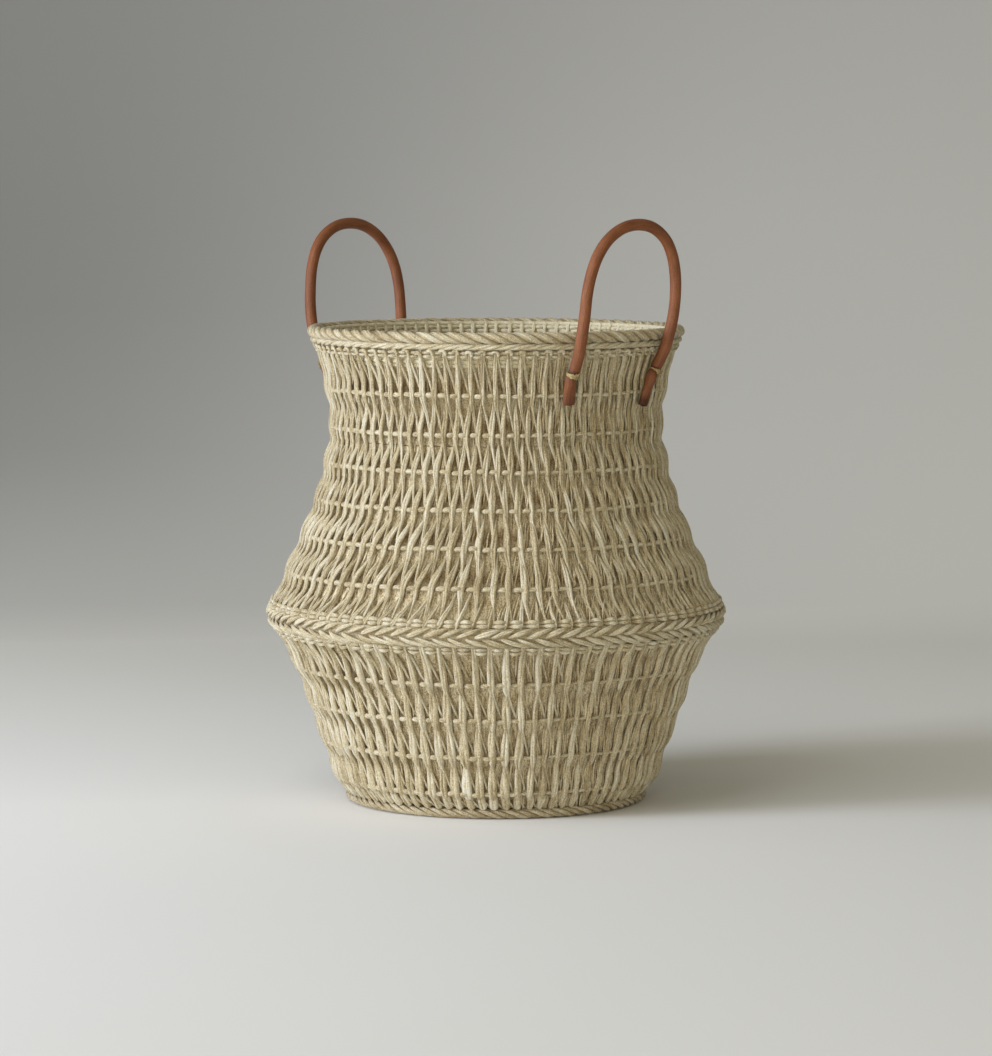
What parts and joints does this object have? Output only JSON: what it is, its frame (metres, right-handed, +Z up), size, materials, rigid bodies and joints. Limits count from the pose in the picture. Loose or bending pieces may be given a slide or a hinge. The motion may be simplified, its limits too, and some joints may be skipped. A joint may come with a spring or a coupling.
{
  "type": "storage basket",
  "caption": "Woven seagrass belly basket for storage, with a braided rim and belly and round leather bow handles that fold outwards.",
  "frame": {"origin": "centre of the base on the surface the basket stands on", "axes": "+Z up; the handles stand near +X and -X; the two handles mirror each other in the plane X = 0"},
  "size_m": [0.3916, 0.3916, 0.4931],
  "materials": {
    "seagrass": "dry woven grass strands, pale straw with a green cast",
    "inner_weave": "rough woven grass, brownish and shaded",
    "leather": "satin tan-brown round leather cord",
    "twine": "waxed straw-coloured twine"
  },
  "bodies": {
    "basket": {"base_panel": "inner_weave", "foot_braid": "seagrass", "lower_wall_outer": "seagrass", "lower_wall_inner": "inner_weave", "belly_twine_lower": "seagrass", "belly_braid": "seagrass", "belly_twine_upper": "seagrass", "shoulder_wall_outer": "seagrass", "shoulder_wall_inner": "inner_weave", "neck_wall_outer": "seagrass", "neck_wall_inner": "inner_weave", "rim_twine": "seagrass", "rim_under_braid": "seagrass", "rim_braid": "seagrass", "weft_ring_01": "seagrass", "weft_ring_02": "seagrass", "weft_ring_03": "seagrass", "weft_ring_04": "seagrass", "weft_ring_05": "seagrass", "weft_ring_06": "seagrass", "weft_ring_07": "seagrass", "weft_ring_08": "seagrass", "weft_ring_09": "seagrass", "weft_ring_10": "seagrass", "handle_right_tail_front": "leather", "handle_right_lashing_front": "twine", "handle_right_tail_back": "leather", "handle_right_lashing_back": "twine", "handle_left_tail_front": "leather", "handle_left_lashing_front": "twine", "handle_left_tail_back": "leather", "handle_left_lashing_back": "twine"},
    "handle_right": {"handle_right_bow": "leather"},
    "handle_left": {"handle_left_bow": "leather"}
  },
  "joints": [
    {"name": "handle_right_fold", "type": "hinge", "parent": "basket", "child": "handle_right", "pos_m": [0.14881, -0.00754, 0.371], "axis": [0.0506, 0.9987, 0], "range_deg": [0, 65]},
    {"name": "handle_left_fold", "type": "hinge", "parent": "basket", "child": "handle_left", "pos_m": [-0.14881, -0.00754, 0.371], "axis": [0.0506, -0.9987, 0], "range_deg": [0, 65]}
  ]
}
